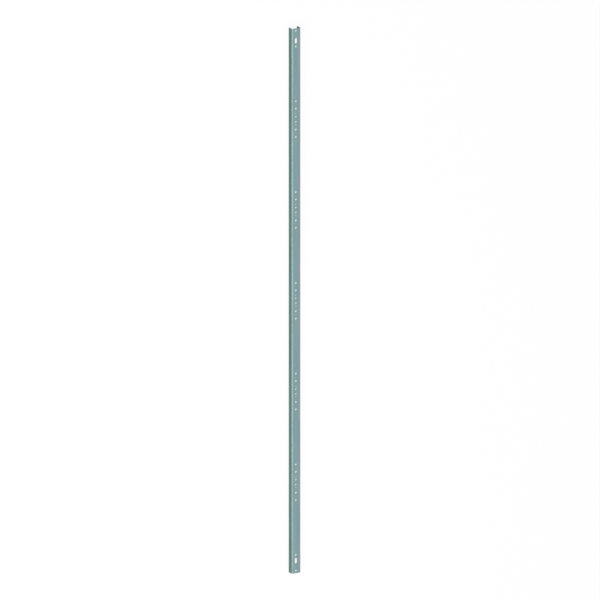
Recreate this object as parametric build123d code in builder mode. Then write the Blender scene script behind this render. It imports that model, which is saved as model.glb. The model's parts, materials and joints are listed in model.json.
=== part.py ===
from build123d import *
import os

# Support rail for a network or server enclosure: one strip of zinc-plated steel sheet,
# folded twice along its length into a channel and punched along one line of its web.
# Millimetres. The rail lies with the edges of its two flanges on the ground and the web
# on top: X runs across the rail, Y along it and Z up, from the middle of its underside.

# The folded section
rail_length = 1800
web_width = 32
flange_depth = 20.5
sheet_thickness = 2
inner_bend_radius = 2

# All the holes stand on one line, this far from the outer face of the left flange
hole_line_inset = 15

# The groups of round holes along the rail
group_count = 5
group_pitch = 300

# The four pairs of holes in a group. The reach is from the group's middle to either hole
inner_hole_diameter = 5
inner_hole_reach = 8
pilot_hole_diameter = 3.5
pilot_hole_reach = 17.5
bolt_hole_diameter = 6
bolt_hole_reach = 34.5
outer_hole_diameter = 6
outer_hole_reach = 59

# Each end has a slot between two round holes. The inset is from the end to their middle
end_hole_diameter = 5.5
end_hole_inset = 8
slot_width = 8
slot_length = 18
slot_inset = 41
tail_hole_diameter = 6
tail_hole_inset = 60

inside_width = web_width - 2 * sheet_thickness
inside_depth = flange_depth - sheet_thickness

group_hole_pairs = [
    (inner_hole_diameter, inner_hole_reach),
    (pilot_hole_diameter, pilot_hole_reach),
    (bolt_hole_diameter, bolt_hole_reach),
    (outer_hole_diameter, outer_hole_reach),
]
end_hole_pairs = [
    (end_hole_diameter, rail_length / 2 - end_hole_inset),
    (tail_hole_diameter, rail_length / 2 - tail_hole_inset),
]

with BuildPart() as support_rail:

    # The line of the sheet's inner face is folded, then thickened outwards by the sheet,
    # so that each bend has the sheet's own thickness all the way round
    with BuildSketch(Plane.XZ) as section:
        with BuildLine() as inner_face:
            FilletPolyline(
                (-inside_width / 2, 0),
                (-inside_width / 2, inside_depth),
                (inside_width / 2, inside_depth),
                (inside_width / 2, 0),
                radius=inner_bend_radius,
            )
            offset(amount=sheet_thickness, side=Side.LEFT)
        make_face()
    extrude(amount=rail_length / 2, both=True)

    # Everything that the press punches out of the web, as one sketch on its outer face
    with BuildSketch(Plane.XY.offset(flange_depth)) as punching:
        with Locations((hole_line_inset - web_width / 2, 0)):
            with GridLocations(0, group_pitch, 1, group_count):
                for diameter, reach in group_hole_pairs:
                    with GridLocations(0, 2 * reach, 1, 2):
                        Circle(diameter / 2)
            for diameter, reach in end_hole_pairs:
                with GridLocations(0, 2 * reach, 1, 2):
                    Circle(diameter / 2)
            with GridLocations(0, rail_length - 2 * slot_inset, 1, 2):
                SlotOverall(slot_length, slot_width, rotation=90)
    extrude(amount=-sheet_thickness, mode=Mode.SUBTRACT)

support_rail.part.label = "support_rail"

os.makedirs("parts", exist_ok=True)
export_step(support_rail.part, "parts/support_rail.step")
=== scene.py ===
import json
import math

import bpy
import numpy as np
from mathutils import Matrix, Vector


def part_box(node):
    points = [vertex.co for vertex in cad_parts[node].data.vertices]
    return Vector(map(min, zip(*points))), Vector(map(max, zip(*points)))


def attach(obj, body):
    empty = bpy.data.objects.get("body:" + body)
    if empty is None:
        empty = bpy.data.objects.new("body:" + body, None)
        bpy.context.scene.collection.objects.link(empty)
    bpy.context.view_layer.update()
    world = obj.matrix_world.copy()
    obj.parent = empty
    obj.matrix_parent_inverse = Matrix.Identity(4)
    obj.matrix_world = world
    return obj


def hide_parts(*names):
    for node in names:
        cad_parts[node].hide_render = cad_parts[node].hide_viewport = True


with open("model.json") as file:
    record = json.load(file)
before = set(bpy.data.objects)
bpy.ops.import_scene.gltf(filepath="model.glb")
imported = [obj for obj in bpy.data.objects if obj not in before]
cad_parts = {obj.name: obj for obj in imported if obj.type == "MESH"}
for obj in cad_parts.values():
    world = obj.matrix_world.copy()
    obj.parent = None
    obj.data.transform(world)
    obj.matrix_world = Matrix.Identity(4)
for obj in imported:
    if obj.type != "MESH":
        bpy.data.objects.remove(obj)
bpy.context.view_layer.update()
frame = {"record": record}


# The rail
# One strip of cold-rolled steel sheet. A press punches it flat, it is folded along both long
# sides into a channel, and then it is zinc-plated and blue-passivated all over.

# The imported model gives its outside, and its mounts the pairs of holes, in metres
half_width, half_length, depth = (float(x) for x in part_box("support_rail")[1])
mounts = {mount["name"]: mount for mount in frame["record"]["mounts"]}
hole_line = mounts["end_slots"]["pos_m"][0]
group_pitch = 0.3
group_middles = group_pitch * np.arange(-2, 3)
sheet = 0.002
bend_radius = 0.004

# The flat strip is measured across, along, and through from the face that ends up outside. A
# bend takes up as much of it as its outer arc is long
web_half = half_width - bend_radius
bend_run = bend_radius * math.pi / 2
strip_half = np.array([web_half + bend_run + depth - bend_radius, half_length])

# A tool leaves a drawn-down skin, a smooth land, a slope where the steel tore, and a small burr
drawn = 0.0003
land = 0.0008
torn = 0.00008
burr = 0.0001

# The surface is divided this finely, and closer beside every cut
beside_cut = np.array([0.0009, 0.0017])
drawn_steps = 4
burr_steps = 3
bend_steps = 8
steps_across_web = 12
steps_beside_hole = 10
steps_beside_slot = 20

# For the square map the strip is cut into lengths here, with some room round each
map_cuts = half_length * np.array([-1 / 3, 1 / 3])
map_room = 0.0018

# Values that differ by less than this are equal
rounding = 1e-6


def cut_profile():
    """The steps of every cut edge, from the outer face to the inner one: how far each stands back
    from the tool, its depth, and the turn of its normal from the outer face's. The skin and the
    burr are quarter rounds, back = r (1 - sin turn), and the slope between them is straight."""
    skin = np.linspace(0, math.pi / 2, drawn_steps + 1)
    fold = np.linspace(math.pi / 2, math.pi, burr_steps + 1)
    slope_down = sheet - burr - land
    halfway = torn * (sheet / 2 - land) / slope_down
    lean = math.atan2(torn, slope_down)
    skin_back = drawn * (1 - np.sin(skin))
    skin_down = drawn * (1 - np.cos(skin))
    burr_back = torn + burr * (1 - np.sin(fold))
    burr_down = sheet - burr * (1 + np.cos(fold))
    back = np.concatenate([skin_back, [0, halfway], burr_back])
    down = np.concatenate([skin_down, [land, sheet / 2], burr_down])
    turn = np.concatenate([skin, [math.pi / 2, math.pi / 2 + lean], fold])
    return back, down, turn


def surface(flat, away, back, down, turn):
    """Points on the steel's surface, as rows of place (3), normal (3) and map place (2). A cut meets
    the flat strip at flat, and away points out of the steel there. The place is flat - back * away,
    kept inside the strip's edges by the same back, at the depth down. The normal is away * sin turn
    + the outer face's normal * cos turn. The map place swings half of a cut's wall out to either
    face, place + away * the depth from that face."""
    back, down, turn = (np.asarray(step, dtype=float)[..., None] for step in (back, down, turn))
    place = np.clip(flat - back * away, back - strip_half, strip_half - back)
    on_map = place + away * np.minimum(down, sheet - down)
    parts = [place, down, away * np.sin(turn), np.cos(turn), on_map]
    shape = np.broadcast_shapes(*[part.shape[:-1] for part in parts])
    return np.concatenate([np.broadcast_to(part, shape + part.shape[-1:]) for part in parts], axis=-1)


def cells(grid):
    """The four corners of each cell of a grid of points, in order round it. The rows and columns
    of every grid here turn so that its cells face out of the steel."""
    low, high = grid[..., :-1, :, :], grid[..., 1:, :, :]
    corners = [low[..., :-1, :], high[..., :-1, :], high[..., 1:, :], low[..., 1:, :]]
    return np.stack(corners, axis=-2)


def hole_table():
    """One row for each hole: where it is along the rail, its radius, and its straight length, which
    is 0 unless it is a slot. A mount gives one pair of holes, half their spacing to either side of
    a middle: the middle of each group, or of the whole rail."""
    whole_rail = np.zeros(1)
    rows = []
    for name, middles in (
        ("middle_inner_holes", group_middles),
        ("middle_pilot_holes", group_middles),
        ("middle_bolt_holes", group_middles),
        ("middle_outer_holes", group_middles),
        ("end_holes", whole_rail),
        ("end_slots", whole_rail),
        ("tail_holes", whole_rail),
    ):
        sizes = mounts[name]["dims"]
        radius = sizes["hole_r_mm"] / 1000
        straight = sizes.get("slot_length_mm", 2000 * radius) / 1000 - 2 * radius
        reach = sizes["spacing_y_mm"] / 2000
        at = np.concatenate([middles - reach, middles + reach])
        rows.append(np.column_stack([at, np.full(len(at), radius), np.full(len(at), straight)]))
    table = np.vstack(rows)
    return table[np.argsort(table[:, 0])]


hole_at, hole_radius, hole_straight = hole_table().T
is_slot = hole_straight > rounding


def hole_stretches():
    """Where the stretch of web that belongs to each hole starts and ends along the rail: a little
    clear of its rim, or halfway to the next rim where that is nearer."""
    low_rim = hole_at - hole_radius - hole_straight / 2
    high_rim = hole_at + hole_radius + hole_straight / 2
    clear = 2 * beside_cut[1]
    between = np.minimum((low_rim[1:] - high_rim[:-1]) / 2, clear)
    start = low_rim - np.append(clear, between)
    end = high_rim + np.append(between, clear)
    return start, end


stretch_start, stretch_end = hole_stretches()


def stations():
    """Where the strip is divided across it and along it."""
    flange = strip_half[0] - np.append(0, beside_cut)
    round_bend = np.linspace(web_half, web_half + bend_run, bend_steps + 1)
    right = np.append(round_bend, flange[::-1])
    web = np.linspace(-web_half, web_half, steps_across_web + 1)
    across = np.concatenate([-right[::-1], web[1:-1], right])
    round_sides = np.linspace(stretch_start[~is_slot], stretch_end[~is_slot], steps_beside_hole + 1)
    slot_sides = np.linspace(stretch_start[is_slot], stretch_end[is_slot], steps_beside_slot + 1)
    end = half_length - np.append(0, beside_cut)
    along = np.concatenate([round_sides.ravel(), slot_sides.ravel(), end, -end, map_cuts])
    return across, np.unique(np.round(along, 8))


def faces_and_edges():
    """The two faces of the strip, with its holes' stretches of web left open, and the cut edges
    round it. Each is a grid over the stations, and an edge's other parameter is its profile."""
    across, along = stations()
    back, down, turn = cut_profile()
    flat = np.stack(np.meshgrid(across, along, indexing="ij"), axis=-1)
    nowhere = np.zeros(2)
    outer = cells(surface(flat, nowhere, back[0], 0, 0))
    inner = cells(surface(flat.swapaxes(0, 1), nowhere, back[-1], sheet, math.pi))
    middle = (along[1:] + along[:-1])[:, None] / 2
    beside_hole = ((middle > stretch_start) & (middle < stretch_end)).any(axis=1)
    on_web = np.abs(across[1:] + across[:-1]) / 2 < web_half
    kept = ~(on_web[:, None] & beside_hole)
    found = [outer[kept], inner[kept.T]]
    side, end = strip_half
    for run, away in (
        (np.column_stack([np.full(len(along), -side), along]), [-1, 0]),
        (np.column_stack([across, np.full(len(across), end)]), [0, 1]),
        (np.column_stack([np.full(len(along), side), along[::-1]]), [1, 0]),
        (np.column_stack([across[::-1], np.full(len(across), -end)]), [0, -1]),
    ):
        edge = surface(run[:, None], np.array(away), back, down, turn)
        found.append(cells(edge).reshape(-1, 4, 8))
    return found


def rim_turns(side_steps):
    """The directions round a hole, as many as its stretch has stations round it, and which end of
    a slot's straight length each belongs to, from -0.5 to 0.5. The side steps that a slot has
    beyond a round hole's go down its straight sides."""
    eighth = steps_beside_hole // 2
    straight_steps = side_steps - steps_beside_hole
    rising = np.linspace(-45, 0, eighth, endpoint=False)
    side_angle = np.concatenate([rising, np.zeros(straight_steps), rising + 45])
    side_pull = np.repeat([-0.5, 0.5], eighth)
    side_pull = np.insert(side_pull, eighth, np.linspace(-0.5, 0.5, straight_steps, endpoint=False))
    top_angle = np.linspace(45, 135, steps_across_web, endpoint=False)
    top_pull = np.full(steps_across_web, 0.5)
    angle = np.radians(np.concatenate([side_angle, top_angle, side_angle + 180, top_angle + 180]))
    pull = np.concatenate([side_pull, top_pull, -side_pull, -top_pull])
    return np.column_stack([np.cos(angle), np.sin(angle)]), pull


def stretch_edges(which, side_steps):
    """The stations round the stretch of web of each of these holes, in order: up its right side,
    to the left along its top, down its left side and back along its bottom."""
    up = np.linspace(0, 1, side_steps, endpoint=False)
    left = np.linspace(1, -1, steps_across_web, endpoint=False)
    across = np.concatenate([np.ones(side_steps), left, -np.ones(side_steps), -left]) * web_half
    share = np.concatenate([up, np.ones(steps_across_web), 1 - up, np.zeros(steps_across_web)])
    start = stretch_start[which][:, None]
    end = stretch_end[which][:, None]
    return np.stack(np.broadcast_arrays(across, start + (end - start) * share), axis=-1)


def punched_web(which, side_steps):
    """The web round each of these holes, as a grid over the turn round the hole and the steps of
    its path. The rim is radius * (cos, sin), pulled apart along a slot's straight length. The path
    comes in over the outer face from the edge of the hole's stretch, goes through the hole as
    every cut does, and goes out again over the inner face."""
    out, pull = rim_turns(side_steps)
    rim = hole_radius[which][:, None, None] * out
    rim[..., 0] += hole_line
    rim[..., 1] += hole_at[which][:, None] + hole_straight[which][:, None] * pull
    edge = stretch_edges(which, side_steps)
    back, down, turn = cut_profile()
    back = np.concatenate([beside_cut[::-1], back, beside_cut])
    down = np.concatenate([[0, 0], down, [sheet, sheet]])
    turn = np.concatenate([[0, 0], turn, [math.pi, math.pi]])
    nowhere = np.zeros(2)
    path = [
        surface(edge[:, :, None], nowhere, 0, 0, 0),
        surface(rim[:, :, None], -out[:, None], back, down, turn),
        surface(edge[:, :, None], nowhere, 0, sheet, math.pi),
    ]
    grid = np.concatenate(path, axis=2)
    return cells(np.concatenate([grid, grid[:, :1]], axis=1)).reshape(-1, 4, 8)


def folded(across, down):
    """Where the flat strip comes to lie, as x, z and the lean of the sheet. Past the web it goes
    round the bend, x = web_half + (r - down) sin lean and z = depth - r + (r - down) cos lean, with
    a lean that grows evenly to a right angle, and then straight down."""
    past_web = np.abs(across) - web_half
    lean = np.clip(past_web / bend_run, 0, 1) * math.pi / 2
    x = np.minimum(np.abs(across), web_half) + (bend_radius - down) * np.sin(lean)
    z = depth - bend_radius + (bend_radius - down) * np.cos(lean) - np.maximum(past_web - bend_run, 0)
    return np.sign(across) * x, z, np.sign(across) * lean


def distance_from_cut(across, along):
    """How far each place on the flat strip is from the nearest cut: the strip's own edges, or the
    rim of any hole, which is its radius away from its middle or from its straight length."""
    to_edge = np.minimum(strip_half[0] - np.abs(across), strip_half[1] - np.abs(along))
    past_straight = np.maximum(np.abs(along[:, None] - hole_at) - hole_straight / 2, 0)
    to_rim = np.hypot(across[:, None] - hole_line, past_straight) - hole_radius
    return np.maximum(np.minimum(to_edge, to_rim.min(axis=1)), 0)


def map_places(corners):
    """The strip laid out on the square map: its lengths one above the other, each as its outer face
    and then its inner face."""
    lengths = len(map_cuts) + 1
    length = 2 * strip_half[1] / lengths
    which = np.searchsorted(map_cuts, corners[..., 1].mean(axis=1))
    inside = corners[..., 2].mean(axis=1) > sheet / 2
    start = which * length - strip_half[1]
    u = (corners[..., 7] - start[:, None] + map_room) / (length + 2 * map_room)
    band = (corners[..., 6] + strip_half[0] + map_room) / (2 * strip_half[0] + 2 * map_room)
    v = ((2 * which + inside)[:, None] + band) / (2 * lengths)
    return np.stack([u, v], axis=-1)


def rail_mesh():
    """The whole surface, joined where its parts meet, folded, and given its formulas' normals."""
    round_holes = punched_web(~is_slot, steps_beside_hole)
    slots = punched_web(is_slot, steps_beside_slot)
    corners = np.concatenate([*faces_and_edges(), round_holes, slots])
    loose = corners.reshape(-1, 8)
    tenths_of_micron = np.round(loose[:, :3] * 1e7).astype(np.int64)
    _, first, vertex = np.unique(tenths_of_micron, axis=0, return_index=True, return_inverse=True)
    flat = loose[first, :3]
    x, z, _ = folded(flat[:, 0], flat[:, 2])
    mesh = bpy.data.meshes.new("folded_rail")
    mesh.from_pydata(np.column_stack([x, flat[:, 1], z]), [], vertex.reshape(-1, 4).tolist())

    # Cut steel starts below the drawn skin, where no corner of a face leans outwards any more, and
    # ends at the inner face, where all four face straight in
    most_outward = corners[..., 5].max(axis=1)
    on_cut = (most_outward < rounding) & (most_outward > rounding - 1)
    mesh.polygons.foreach_set("material_index", on_cut.astype(np.int32))
    place = mesh.attributes.new("flat_place", "FLOAT_VECTOR", "POINT")
    place.data.foreach_set("vector", flat.astype(np.float32).ravel())
    near = mesh.attributes.new("from_cut", "FLOAT", "POINT")
    near.data.foreach_set("value", distance_from_cut(flat[:, 0], flat[:, 1]).astype(np.float32))
    bake_map = mesh.uv_layers.new(name="OFBake")
    bake_map.uv.foreach_set("vector", map_places(corners).astype(np.float32).ravel())

    # Each normal turns with the sheet's lean where it is
    _, _, lean = folded(loose[:, 0], loose[:, 2])
    across, along, out = loose[:, 3:6].T
    normal_x = across * np.cos(lean) + out * np.sin(lean)
    normal_z = out * np.cos(lean) - across * np.sin(lean)
    mesh.shade_smooth()
    mesh.normals_split_custom_set(np.column_stack([normal_x, along, normal_z]).tolist())
    return mesh


folded_rail = bpy.data.objects.new("folded_rail", rail_mesh())
bpy.context.scene.collection.objects.link(folded_rail)

# The tint at four places, as shares of the way from one edge of the strip to the other. It is partly
# the film's own tint and partly a painted reflection, which gives each flank and each half of the web
# the tint of the reflection that falls on it
film_and_reflection_tints = {
    0.20: (0.214, 0.338, 0.306),
    0.38: (0.223, 0.358, 0.373),
    0.66: (0.252, 0.325, 0.344),
    0.95: (0.268, 0.334, 0.345),
}
streak_depth = 0.06
streak_shift = 0.004
mottle_depth = 0.035

# The zinc shows through the film, by these shares, wherever the film is thin or rubbed off. On the
# bends this lighter zinc is partly rubbing and partly a painted highlight. Each rubbed place fades
# from a full middle to nothing, at these distances from its own middle line
bare_zinc = (0.50, 0.60, 0.61, 1)
zinc_along_cut = 0.3
zinc_and_highlight_on_bend = 0.07
zinc_in_rubbed_line = 0.16
zinc_in_scratch = 0.3
bright_edge_width = 0.0004
bend_fade = (0.3 * bend_run, 0.5 * bend_run)
rubbed_line_at = bend_run / 2 + 0.0035
rubbed_line_fade = (0.00016, 0.0004)

# Scratches of two kinds: how they slant from the rail's length in degrees, and how long they are
scratches_lengthwise = (4, 0.02)
scratches_crosswise = (61, 0.009)
scratch_fade = (0.00001, 0.00006)
scratch_lean = 0.3
scratch_chance = (0.55, 0.95)

# Noise patterns: their repeats in a metre across, along and through the strip, and how many finer
# layers lie on each. Noise seldom leaves the usual range
streaks_left_by_bath = ((90, 7, 90), 4)
mottle = ((500, 200, 500), 3)
crystals = ((9000, 9000, 9000), 1)
orange_peel = ((1800, 1100, 1800), 2)
torn_lumps = ((4200, 4200, 4200), 3)
tear_line = ((900, 900, 0), 2)
rolled_grain_repeats = (4500, 110, 4500)
land_grain_repeats = (5000, 5000, 250)
grain_layers = 3
usual_noise = (0.3, 0.7)

# Heights are in units of the grain's, which is in metres
grain_height = 0.000018
crystal_height = 0.3
peel_height = 1.2
scratch_height = -0.8
lump_height = 4.0

# The sheet's roughness follows its grain over this range of it. Bends are rougher and bare zinc
# smoother by these amounts
grain_range = (0.4, 0.9)
sheet_roughness = (0.34, 0.47)
rougher_on_bend = 0.03
rougher_where_bare = -0.2

# The land and the torn slope of a cut meet at a wandering line, and differ in these ways. The
# shades are shares of the film's tint
tear_wander = 0.00015
tear_blur = 0.00005
land_and_torn_shade = (0.72, 0.56)
land_and_torn_roughness = (0.38, 0.62)
lump_shading = 0.15


def put(tree, kind, inputs=None, **settings):
    """A new node in a tree. The inputs are values or other nodes' sockets, by name or number."""
    made = tree.nodes.new("ShaderNode" + kind)
    for name, value in settings.items():
        setattr(made, name, value)
    for key, value in (inputs or {}).items():
        if isinstance(value, bpy.types.NodeSocket):
            tree.links.new(value, made.inputs[key])
        else:
            made.inputs[key].default_value = value
    return made


def combine(tree, operation, *values):
    """The result of arithmetic on values or sockets."""
    return put(tree, "Math", dict(enumerate(values)), operation=operation).outputs[0]


def combine_vectors(tree, operation, *values):
    """The result of arithmetic on vectors or vector sockets."""
    return put(tree, "VectorMath", dict(enumerate(values)), operation=operation).outputs[0]


def parts_of(tree, vector):
    """The three parts of a vector: across, along and through the strip."""
    return put(tree, "SeparateXYZ", {0: vector}).outputs


def remap(tree, value, low, high, to_low=0.0, to_high=1.0):
    """A value between low and high brought to the range from to_low to to_high, eased at both ends
    and held beyond them."""
    sockets = {"Value": value, "From Min": low, "From Max": high, "To Min": to_low, "To Max": to_high}
    return put(tree, "MapRange", sockets, interpolation_type="SMOOTHSTEP").outputs["Result"]


def mix(tree, share, one, other, kind="RGBA"):
    """One colour going over to another by a share, or with the kind FLOAT one value to another. The
    node has sockets of its own for each kind."""
    first_input, result = {"RGBA": (6, 2), "FLOAT": (2, 0)}[kind]
    inputs = {0: share, first_input: one, first_input + 1: other}
    return put(tree, "Mix", inputs, data_type=kind).outputs[result]


def noise(tree, place, repeats, layers):
    """A noise pattern, 0.5 on average, with these repeats in a metre each way."""
    scaled = combine_vectors(tree, "MULTIPLY", place, repeats)
    return put(tree, "TexNoise", {"Vector": scaled, "Scale": 1.0, "Detail": layers}).outputs["Fac"]


def swing(tree, pattern, middle, depth):
    """A noise pattern as a value that swings by this depth to either side of a middle."""
    return remap(tree, pattern, *usual_noise, middle - depth, middle + depth)


def fade(tree, distance, widths):
    """1 within the first of two distances from a line, and 0 beyond the second."""
    full, none = widths
    return remap(tree, distance, none, full)


def new_group(name, given, made):
    """A shader node group whose sockets are named, each with its kind, and the sockets inside it."""
    tree = bpy.data.node_groups.new(name, "ShaderNodeTree")
    for socket, kind in given.items():
        tree.interface.new_socket(socket, in_out="INPUT", socket_type="NodeSocket" + kind)
    for socket, kind in made.items():
        tree.interface.new_socket(socket, in_out="OUTPUT", socket_type="NodeSocket" + kind)
    return tree, tree.nodes.new("NodeGroupInput").outputs, tree.nodes.new("NodeGroupOutput").inputs


def passivation_film_and_reflection():
    """The bluish film on the zinc, with a painted reflection in its tint. The tint drifts from one
    edge of the strip to the other, partly as the film's own and partly as a painted reflection that
    differs on each flank and each half of the web. The drift is shifted by the streaks that the bath
    left as it ran off along the rail, and the tint is a little mottled."""
    made_here = {"Colour": "Color", "Streaks": "Float"}
    tree, given, made = new_group("passivation_film_and_reflection", {"Place": "Vector"}, made_here)
    streaks = noise(tree, given["Place"], *streaks_left_by_bath)
    mottled = swing(tree, noise(tree, given["Place"], *mottle), 1, mottle_depth)
    across = parts_of(tree, given["Place"])[0]
    shifted = combine(tree, "ADD", across, swing(tree, streaks, 0, streak_shift))
    share = combine(tree, "MULTIPLY_ADD", shifted, 0.5 / strip_half[0], 0.5)
    # The ramp's tints across the strip are partly the film's own and partly painted reflection
    ramp = put(tree, "ValToRGB", {0: share})
    tints = ramp.color_ramp.elements
    for share_across, tint in film_and_reflection_tints.items():
        tints.new(share_across).color = (*tint, 1)
    tints.remove(tints[-1])
    tints.remove(tints[0])
    depth_of_tint = combine(tree, "MULTIPLY", mottled, swing(tree, streaks, 1, streak_depth))
    colour = put(tree, "VectorMath", {0: ramp.outputs[0], "Scale": depth_of_tint}, operation="SCALE")
    tree.links.new(colour.outputs[0], made["Colour"])
    tree.links.new(streaks, made["Streaks"])
    return tree


def drawn_grain():
    """Fine grain drawn out one way, by the rolls or by a tool, with the zinc's crystals on it."""
    given_here = {"Place": "Vector", "Repeats": "Vector"}
    tree, given, made = new_group("drawn_grain", given_here, {"Grain": "Float"})
    drawn_out = noise(tree, given["Place"], given["Repeats"], grain_layers)
    finer = noise(tree, given["Place"], *crystals)
    tree.links.new(combine(tree, "MULTIPLY_ADD", finer, crystal_height, drawn_out), made["Grain"])
    return tree


film_and_reflection_group = passivation_film_and_reflection()
grain_group = drawn_grain()


def hair_scratches(tree, place, slant, length):
    """Fine straight scratches, where the result is 1. The strip is shared out in random cells twice
    as long as a scratch, a quarter as wide and a fifth of the sheet deep. Each cell has at most one,
    by its chance, through its middle, at the slant from the rail's length and a lean of its own."""
    slanted = {"Vector": place, "Angle": math.radians(slant)}
    turned = put(tree, "VectorRotate", slanted, rotation_type="Z_AXIS").outputs[0]
    cell = (length / 4, length * 2, sheet / 5)
    in_cells = combine_vectors(tree, "DIVIDE", turned, cell)
    nearest = put(tree, "TexVoronoi", {"Vector": in_cells, "Scale": 1.0}).outputs
    off = combine_vectors(tree, "SUBTRACT", in_cells, nearest["Position"])
    aside, along, _ = parts_of(tree, combine_vectors(tree, "MULTIPLY", off, cell))
    chance = put(tree, "SeparateColor", {0: nearest["Color"]}).outputs
    lean = remap(tree, chance[0], 0.0, 1.0, -scratch_lean, scratch_lean)
    off_line = combine(tree, "ABSOLUTE", combine(tree, "MULTIPLY_ADD", along, lean, aside))
    narrow = fade(tree, off_line, scratch_fade)
    short = fade(tree, combine(tree, "ABSOLUTE", along), (length / 5, length / 2))
    deep = remap(tree, chance[1], *scratch_chance)
    return combine(tree, "MULTIPLY", combine(tree, "MULTIPLY", narrow, short), deep)


def plated_steel(name, grain_repeats):
    """A new material of plated steel, and what its looks start from: the place on the flat strip,
    the film there, and grain with these repeats in a metre."""
    material = bpy.data.materials.new(name)
    material.use_nodes = True
    tree = material.node_tree
    tree.nodes["Principled BSDF"].inputs["Metallic"].default_value = 1.0
    place = put(tree, "Attribute", attribute_name="flat_place").outputs["Vector"]
    film = put(tree, "Group", {"Place": place}, node_tree=film_and_reflection_group).outputs
    grain = put(tree, "Group", {"Place": place, "Repeats": grain_repeats}, node_tree=grain_group)
    return material, place, film, grain.outputs[0]


def finish(material, colour, roughness, height):
    """Gives a steel its colour, its roughness, and its fine relief in units of the grain's height."""
    tree = material.node_tree
    shader = tree.nodes["Principled BSDF"]
    bump = put(tree, "Bump", {"Height": height, "Distance": grain_height})
    tree.links.new(colour, shader.inputs["Base Color"])
    tree.links.new(roughness, shader.inputs["Roughness"])
    tree.links.new(bump.outputs[0], shader.inputs["Normal"])
    return material


def zinc_on_sheet():
    """The plated faces. The bends are stretched to a faint orange peel and lightened towards the zinc,
    partly where the folding tool rubbed them and partly as a painted highlight, and the tool rubbed a
    line beside each. Handling has left a few hair scratches, and the zinc is thicker and brighter
    along every cut."""
    material, place, film, grain = plated_steel("zinc_on_rolled_sheet", rolled_grain_repeats)
    tree = material.node_tree
    from_cut = put(tree, "Attribute", attribute_name="from_cut").outputs["Fac"]
    from_middle = combine(tree, "ABSOLUTE", parts_of(tree, place)[0])
    past_bend = combine(tree, "SUBTRACT", from_middle, web_half + bend_run / 2)
    from_bend = combine(tree, "ABSOLUTE", past_bend)
    from_line = combine(tree, "ABSOLUTE", combine(tree, "SUBTRACT", from_bend, rubbed_line_at))
    on_bend = fade(tree, from_bend, bend_fade)
    rubbed = combine(tree, "MULTIPLY", fade(tree, from_line, rubbed_line_fade), film["Streaks"])
    beside_a_cut = fade(tree, from_cut, (0.0, bright_edge_width))
    lengthwise = hair_scratches(tree, place, *scratches_lengthwise)
    crosswise = hair_scratches(tree, place, *scratches_crosswise)
    scratched = combine(tree, "MAXIMUM", lengthwise, crosswise)

    # On the bend the share of lighter zinc is partly rubbing and partly a painted highlight
    bare_and_bend_highlight = combine(tree, "MULTIPLY", on_bend, zinc_and_highlight_on_bend)
    for mark, share in (
        (beside_a_cut, zinc_along_cut),
        (rubbed, zinc_in_rubbed_line),
        (scratched, zinc_in_scratch),
    ):
        bare_and_bend_highlight = combine(tree, "MAXIMUM", bare_and_bend_highlight, combine(tree, "MULTIPLY", mark, share))
    colour = mix(tree, bare_and_bend_highlight, film["Colour"], bare_zinc)

    grained = remap(tree, grain, *grain_range, *sheet_roughness)
    peeled = combine(tree, "MULTIPLY_ADD", on_bend, rougher_on_bend, grained)
    roughness = combine(tree, "MULTIPLY_ADD", bare_and_bend_highlight, rougher_where_bare, peeled)
    peel = combine(tree, "MULTIPLY", on_bend, noise(tree, place, *orange_peel))
    raised = combine(tree, "MULTIPLY_ADD", peel, peel_height, grain)
    height = combine(tree, "MULTIPLY_ADD", scratched, scratch_height, raised)
    return finish(material, colour, roughness, height)


def zinc_on_cut():
    """The plated cuts, duller than the faces. The tool drew fine lines through the sheet down the
    smooth land, and below a wandering line the rest of the wall tore to a rough slope."""
    material, place, film, grain = plated_steel("zinc_on_cut_steel", land_grain_repeats)
    tree = material.node_tree
    wander = swing(tree, noise(tree, place, *tear_line), 0, tear_wander)
    down = combine(tree, "ADD", parts_of(tree, place)[2], wander)
    tear = remap(tree, down, land - tear_blur, land + tear_blur)
    lumps = noise(tree, place, *torn_lumps)
    dulled = remap(tree, tear, 0.0, 1.0, *land_and_torn_shade)
    shade = combine(tree, "MULTIPLY", dulled, swing(tree, lumps, 1, lump_shading))
    colour = put(tree, "VectorMath", {0: film["Colour"], "Scale": shade}, operation="SCALE").outputs[0]
    roughness = remap(tree, tear, 0.0, 1.0, *land_and_torn_roughness)
    height = mix(tree, tear, grain, combine(tree, "MULTIPLY", lumps, lump_height), "FLOAT")
    return finish(material, colour, roughness, height)


folded_rail.data.materials.append(zinc_on_sheet())
folded_rail.data.materials.append(zinc_on_cut())

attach(folded_rail, "root")
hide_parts("support_rail")


# The floor
# A wide sheet of matt paper, a hair below the edges that the rail lies on. The camera sees it as
# white with the rail's soft shadow on it, and the steel mirrors it as a pale grey.

floor_reach = 6.0
floor_gap = 0.0001
paper_grey = (0.55, 0.55, 0.55, 1)
paper_white = (0.85, 0.85, 0.85, 1)
paper_roughness = 0.9

# How much of the paper's look is plain white, where the camera sees it and where the steel does
white_level = 1.0
white_to_camera = 0.9
white_in_mirror = 0.1

corners = floor_reach * np.array([[-1, -1, 0], [1, -1, 0], [1, 1, 0], [-1, 1, 0]]) - [0, 0, floor_gap]
floor_mesh = bpy.data.meshes.new("floor")
floor_mesh.from_pydata(corners, [], [[0, 1, 2, 3]])
floor = bpy.data.objects.new("floor", floor_mesh)
bpy.context.scene.collection.objects.link(floor)

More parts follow.
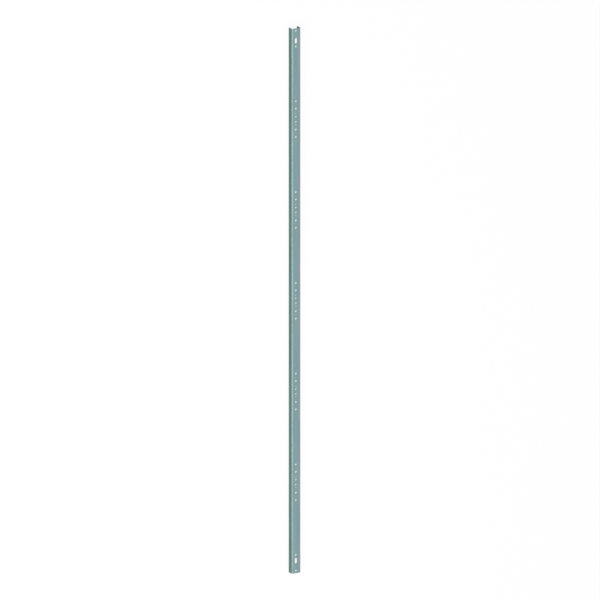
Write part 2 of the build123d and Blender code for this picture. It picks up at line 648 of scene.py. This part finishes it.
paper = bpy.data.materials.new("pale_paper")
paper.use_nodes = True
tree = paper.node_tree
rays = put(tree, "LightPath").outputs
matt = tree.nodes["Principled BSDF"]
matt.inputs["Roughness"].default_value = paper_roughness
matt.inputs["Specular IOR Level"].default_value = 0.0
tree.links.new(mix(tree, rays["Is Camera Ray"], paper_grey, paper_white), matt.inputs["Base Color"])
white = put(tree, "Emission", {"Strength": white_level})
mirrored = combine(tree, "MAXIMUM", rays["Is Glossy Ray"], rays["Is Transmission Ray"])
white_share = combine(tree, "MULTIPLY", mirrored, white_in_mirror)
white_share = combine(tree, "MULTIPLY_ADD", rays["Is Camera Ray"], white_to_camera, white_share)
paper_seen = put(tree, "MixShader", {0: white_share, 1: matt.outputs[0], 2: white.outputs[0]})
tree.links.new(paper_seen.outputs[0], tree.nodes["Material Output"].inputs["Surface"])
floor_mesh.materials.append(paper)


# The studio light
# An even pale room, a little brighter overhead, and one wide soft lamp high on the rail's left
# that draws the bright line along its bend.

wall_level = 0.65
ceiling_level = 1.15
backdrop_white = 1.0
lamp_place = (-2.4, -0.7, 1.9)
lamp_size = (2.0, 3.2)
lamp_watts = 45
lamp_colour = (1.0, 0.98, 0.94)

world = bpy.data.worlds.new("studio")
bpy.context.scene.world = world
world.use_nodes = True
tree = world.node_tree
upwards = parts_of(tree, put(tree, "TexCoord").outputs["Generated"])[2]
room_level = put(tree, "MapRange", {"Value": upwards, "To Min": wall_level, "To Max": ceiling_level})
room = tree.nodes["Background"]
room.inputs["Color"].default_value = (1, 1, 1, 1)
tree.links.new(room_level.outputs[0], room.inputs["Strength"])
backdrop = put(tree, "Background", {"Color": (1, 1, 1, 1), "Strength": backdrop_white})
rays = put(tree, "LightPath").outputs
room_or_backdrop = {0: rays["Is Camera Ray"], 1: room.outputs[0], 2: backdrop.outputs[0]}
room_seen = put(tree, "MixShader", room_or_backdrop)
tree.links.new(room_seen.outputs[0], tree.nodes["World Output"].inputs["Surface"])

lamp_data = bpy.data.lights.new("soft_lamp", "AREA")
lamp_data.energy = lamp_watts
lamp_data.color = lamp_colour
lamp_data.shape = "RECTANGLE"
lamp_data.size, lamp_data.size_y = lamp_size
lamp = bpy.data.objects.new("soft_lamp", lamp_data)
lamp.location = lamp_place

# It leans over to face the rail's long axis
lamp.rotation_euler = (0, math.atan2(lamp_place[0], lamp_place[2]), 0)
bpy.context.scene.collection.objects.link(lamp)


# The camera
# It looks down on the rail from its left and from a little beyond its upper end, in a parallel
# view, because the near and far ends come out alike, as through a very long lens.

# The view is turned about the rail's length and tilted from straight across it, and its middle is
# this far right of and above the origin
camera_turn = math.radians(30.0)
camera_tilt = math.radians(17.07)
view_width = 1.8956
view_right = 0.02185
view_up = -0.0027
camera_distance = 4.0
camera_far_limit = 20.0

to_right = np.array([math.cos(camera_turn), 0, math.sin(camera_turn)])
level = np.array([-math.sin(camera_turn), 0, math.cos(camera_turn)])
to_camera = level * math.cos(camera_tilt) + [0, math.sin(camera_tilt), 0]
to_top = np.cross(to_camera, to_right)

camera_data = bpy.data.cameras.new("camera")
camera_data.type = "ORTHO"
camera_data.ortho_scale = view_width
camera_data.clip_end = camera_far_limit
camera = bpy.data.objects.new("camera", camera_data)
camera.location = camera_distance * to_camera + view_right * to_right + view_up * to_top
camera.rotation_euler = Matrix(np.column_stack([to_right, to_top, to_camera]).tolist()).to_euler()
bpy.context.scene.collection.objects.link(camera)
bpy.context.scene.camera = camera
bpy.context.scene.view_settings.view_transform = "Standard"
